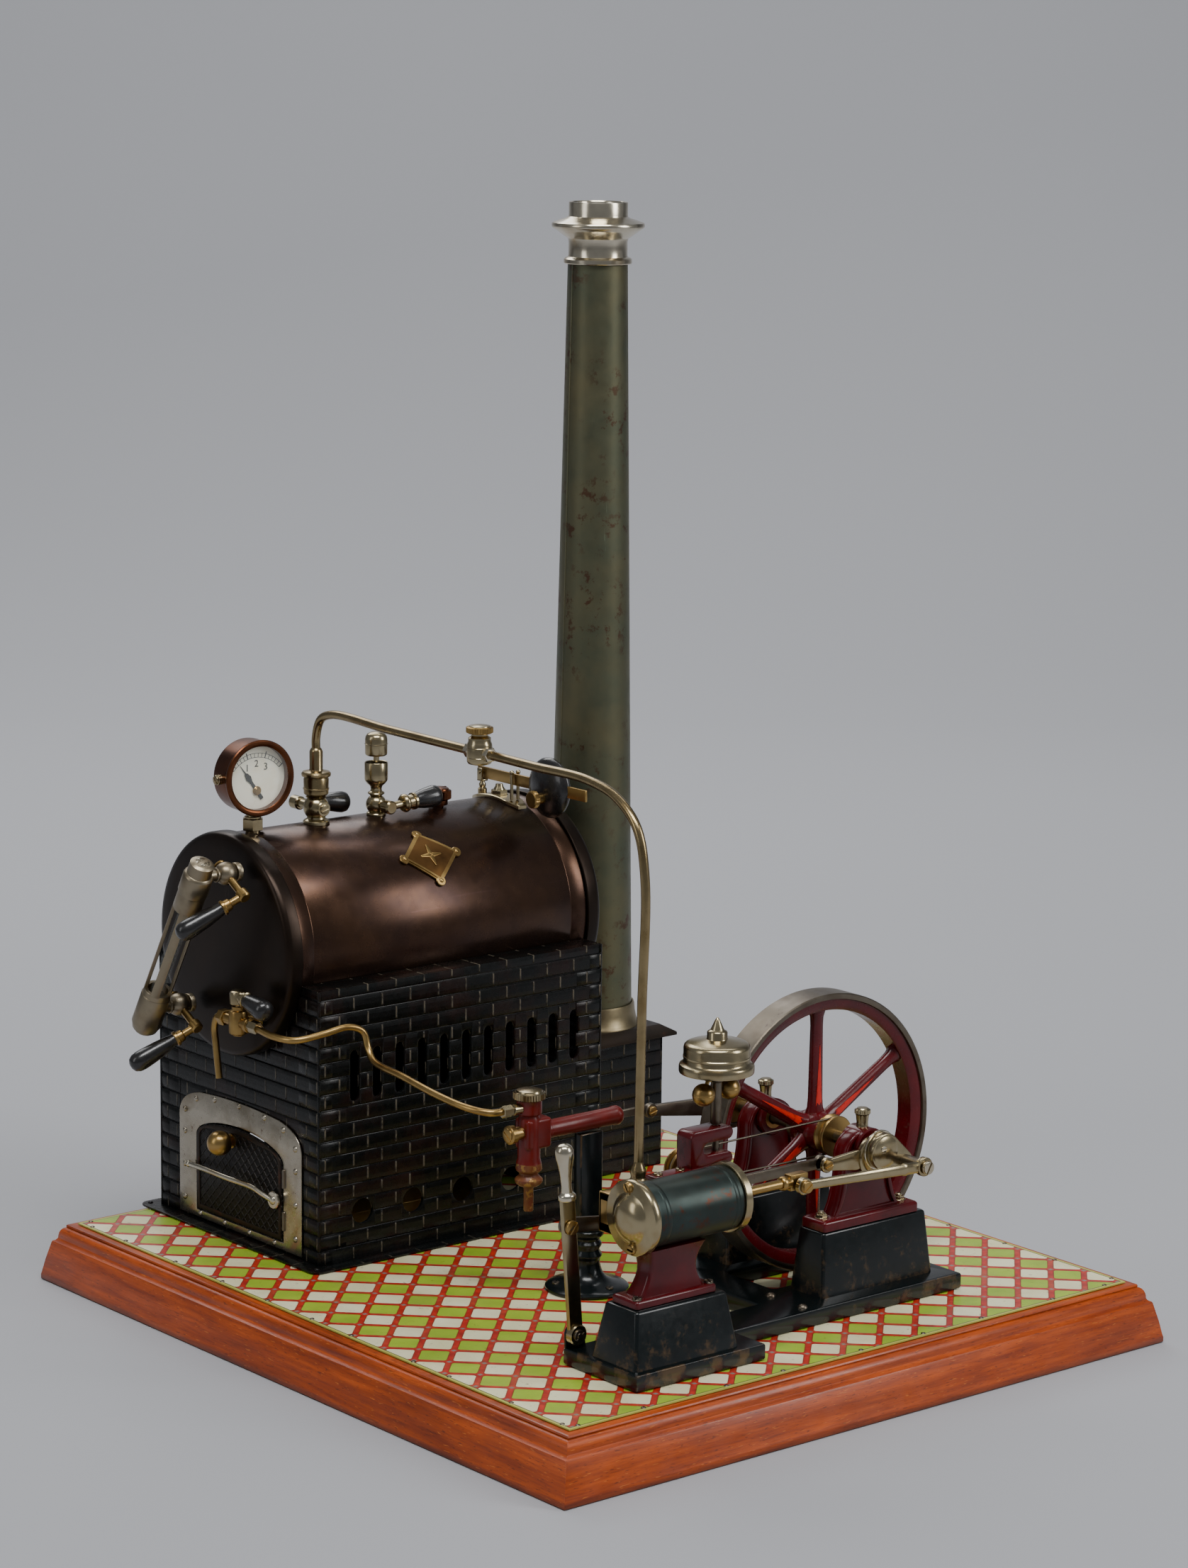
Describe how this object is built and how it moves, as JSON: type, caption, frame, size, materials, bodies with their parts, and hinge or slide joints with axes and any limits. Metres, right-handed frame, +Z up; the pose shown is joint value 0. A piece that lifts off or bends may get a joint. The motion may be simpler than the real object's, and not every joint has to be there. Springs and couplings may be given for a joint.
{
  "type": "model steam engine",
  "caption": "Toy steam plant on a wooden base: a spirit-fired boiler in a brick-pattern house with a chimney, and a horizontal slide-valve engine with governor and feed pump.",
  "frame": {"origin": "centre of the wooden base's underside", "axes": "+X along the boiler and cylinder away from the fire door, +Y from the engine side to the boiler side, +Z up"},
  "size_m": [0.35, 0.39, 0.5],
  "materials": {
    "beech": "varnished beech",
    "tinplate": "lithographed tiled tinplate, satin",
    "brickwork": "dark gloss enamel over embossed brickwork",
    "blued_steel": "blued steel, satin, scratched",
    "chimney_steel": "blued steel with rust spots",
    "nickel": "worn nickel plate over brass",
    "brass": "worn brass",
    "copper": "copper-brown lacquer",
    "ebony": "black ebonised wood",
    "crimson": "crimson enamel",
    "dark_green": "dark green enamel",
    "jacket": "blue-grey steel with rust",
    "steel": "bare steel",
    "pump_red": "red enamel worn to brass",
    "glass": "clear glass"
  },
  "bodies": {
    "frame": {"wooden_base": "beech", "tile_sheet": "tinplate", "boiler_house": "brickwork", "fire_door_frame": "nickel", "spirit_burner": "brass", "chimney_base": "brickwork", "chimney_roof": "chimney_steel", "chimney_tube": "chimney_steel", "chimney_cap": "nickel", "boiler_shell": "blued_steel", "boiler_front_cap": "blued_steel", "boiler_rear_cap": "blued_steel", "maker_plaque": "brass", "stop_valve_body": "nickel", "steam_pipe_boiler": "nickel", "lubricator": "nickel", "steam_pipe_engine": "nickel", "whistle_body": "nickel", "safety_valve_base": "nickel", "pressure_gauge_case": "copper", "water_gauge_frame": "nickel", "water_gauge_glass": "glass", "feed_cock_body": "nickel", "feed_pipe": "brass", "pump_post": "dark_green", "pump_body": "pump_red", "engine_bed": "dark_green", "cylinder_pedestal": "crimson", "cylinder": "jacket", "cylinder_cover": "nickel", "steam_chest": "brass", "near_bearing": "crimson", "far_bearing": "crimson", "governor_bracket": "crimson", "governor_belt": "steel"},
    "fire_door": {"fire_door": "blued_steel"},
    "door_latch": {"door_latch": "nickel"},
    "stop_valve_handle": {"stop_valve_handle": "ebony"},
    "whistle_lever": {"whistle_lever": "ebony"},
    "filler_plug": {"filler_plug": "copper"},
    "safety_lever": {"safety_valve_lever": "brass"},
    "safety_weight": {"safety_valve_weight": "ebony"},
    "gauge_needle": {"pressure_gauge_needle": "blued_steel"},
    "upper_cock": {"water_gauge_upper_cock": "ebony"},
    "lower_cock": {"water_gauge_lower_cock": "ebony"},
    "feed_handle": {"feed_cock_handle": "ebony"},
    "plunger": {"pump_plunger": "steel"},
    "pump_drive": {"pump_eccentric_rod": "steel"},
    "piston": {"piston_and_crosshead": "brass"},
    "con_rod": {"connecting_rod": "steel"},
    "slide_valve": {"valve_rod": "steel"},
    "valve_drive": {"valve_eccentric_rod": "steel"},
    "crank": {"crankshaft": "steel", "flywheel": "crimson"},
    "governor_drive": {"governor_pulley": "brass"},
    "governor_head": {"governor_spindle": "nickel"},
    "fly_ball_front": {"governor_ball_front": "brass"},
    "fly_ball_rear": {"governor_ball_rear": "brass"},
    "lever": {"control_lever": "nickel"},
    "link": {"control_link": "steel"}
  },
  "joints": [
    {"name": "fire_door_swing", "type": "hinge", "parent": "frame", "child": "fire_door", "pos_m": [-0.117, 0.0812, 0.057], "axis": [0, 0, 1], "range_deg": [0, 105]},
    {"name": "latch_lift", "type": "hinge", "parent": "fire_door", "child": "door_latch", "pos_m": [-0.118, 0.0865, 0.0535], "axis": [1, 0, 0], "range_deg": [0, 12]},
    {"name": "stop_valve_turn", "type": "hinge", "parent": "frame", "child": "stop_valve_handle", "pos_m": [-0.0708, 0.1183, 0.226], "axis": [0, -1, 0], "range_deg": [0, 90]},
    {"name": "whistle_pull", "type": "hinge", "parent": "frame", "child": "whistle_lever", "pos_m": [-0.0363, 0.1183, 0.2236], "axis": [0, -1, 0], "range_deg": [0, 45]},
    {"name": "filler_unscrew", "type": "hinge", "parent": "frame", "child": "filler_plug", "pos_m": [0.0004, 0.1183, 0.2186], "axis": [0, 0, 1], "range_deg": [0, 360]},
    {"name": "safety_lever_lift", "type": "hinge", "parent": "frame", "child": "safety_lever", "pos_m": [0.037, 0.1313, 0.229], "axis": [-1, 0, 0], "range_deg": [0, 8]},
    {"name": "safety_weight_slide", "type": "slide", "parent": "safety_lever", "child": "safety_weight", "axis": [0, 1, 0], "range_m": [-0.02, 0.008]},
    {"name": "gauge_needle_swing", "type": "hinge", "parent": "frame", "child": "gauge_needle", "pos_m": [-0.10671, 0.11471, 0.2384], "axis": [0.0872, 0.9962, 0], "range_deg": [0, 76]},
    {"name": "upper_cock_turn", "type": "hinge", "parent": "frame", "child": "upper_cock", "pos_m": [-0.1348, 0.09915, 0.20598], "axis": [0, 0.8712, 0.4909], "range_deg": [0, 90]},
    {"name": "lower_cock_turn", "type": "hinge", "parent": "frame", "child": "lower_cock", "pos_m": [-0.1348, 0.13745, 0.13802], "axis": [0, 0.8712, 0.4909], "range_deg": [0, 90]},
    {"name": "feed_cock_turn", "type": "hinge", "parent": "frame", "child": "feed_handle", "pos_m": [-0.1356, 0.0884, 0.1396], "axis": [0, 0, -1], "range_deg": [0, 90]},
    {"name": "crank_spin", "type": "hinge", "parent": "frame", "child": "crank", "pos_m": [0.05, -0.09, 0.0985], "axis": [0, 1, 0], "continuous": true},
    {"name": "big_end", "type": "hinge", "parent": "crank", "child": "con_rod", "pos_m": [0.06158, -0.152, 0.0926], "axis": [0, 1, 0], "continuous": true},
    {"name": "piston_stroke", "type": "slide", "parent": "frame", "child": "piston", "axis": [1, 0, 0], "range_m": [-0.0245, 0.0014]},
    {"name": "valve_eccentric", "type": "hinge", "parent": "crank", "child": "valve_drive", "pos_m": [0.04841, -0.135, 0.09538], "axis": [0, 1, 0], "continuous": true},
    {"name": "valve_stroke", "type": "slide", "parent": "frame", "child": "slide_valve", "axis": [1, 0, 0], "range_m": [-0.0019, 0.005]},
    {"name": "pump_eccentric", "type": "hinge", "parent": "crank", "child": "pump_drive", "pos_m": [0.0453, -0.044, 0.10021], "axis": [0, 1, 0], "continuous": true},
    {"name": "plunger_stroke", "type": "slide", "parent": "frame", "child": "plunger", "axis": [1, 0, 0], "range_m": [-0.0003, 0.0096]},
    {"name": "governor_pulley_spin", "type": "hinge", "parent": "frame", "child": "governor_drive", "pos_m": [-0.038, -0.1065, 0.0985], "axis": [0, 1, 0], "continuous": true},
    {"name": "governor_spin", "type": "hinge", "parent": "frame", "child": "governor_head", "pos_m": [-0.036, -0.125, 0.13], "axis": [0, 0, 1], "continuous": true},
    {"name": "fly_ball_rear_swing", "type": "hinge", "parent": "governor_head", "child": "fly_ball_rear", "pos_m": [-0.03075, -0.12426, 0.143], "axis": [0.1392, -0.9903, 0], "range_deg": [0, 25]},
    {"name": "fly_ball_front_swing", "type": "hinge", "parent": "governor_head", "child": "fly_ball_front", "pos_m": [-0.04125, -0.12574, 0.143], "axis": [-0.1392, 0.9903, 0], "range_deg": [0, 25]},
    {"name": "control_lever_swing", "type": "hinge", "parent": "frame", "child": "lever", "pos_m": [-0.109, -0.1205, 0.0415], "axis": [0, 1, 0], "range_deg": [-10, 10]},
    {"name": "link_pivot", "type": "hinge", "parent": "lever", "child": "link", "pos_m": [-0.11318, -0.12, 0.08932], "axis": [0, 1, 0], "range_deg": [-10, 10]}
  ],
  "couplings": [
    {"joint": "big_end", "follows": "crank_spin", "ratio": -1},
    {"joint": "valve_eccentric", "follows": "crank_spin", "ratio": -1},
    {"joint": "pump_eccentric", "follows": "crank_spin", "ratio": -1},
    {"joint": "governor_pulley_spin", "follows": "crank_spin", "ratio": 1.0909},
    {"joint": "governor_spin", "follows": "crank_spin", "ratio": 1.0909},
    {"joint": "fly_ball_front_swing", "follows": "fly_ball_rear_swing", "ratio": 1},
    {"joint": "link_pivot", "follows": "control_lever_swing", "ratio": -1}
  ]
}
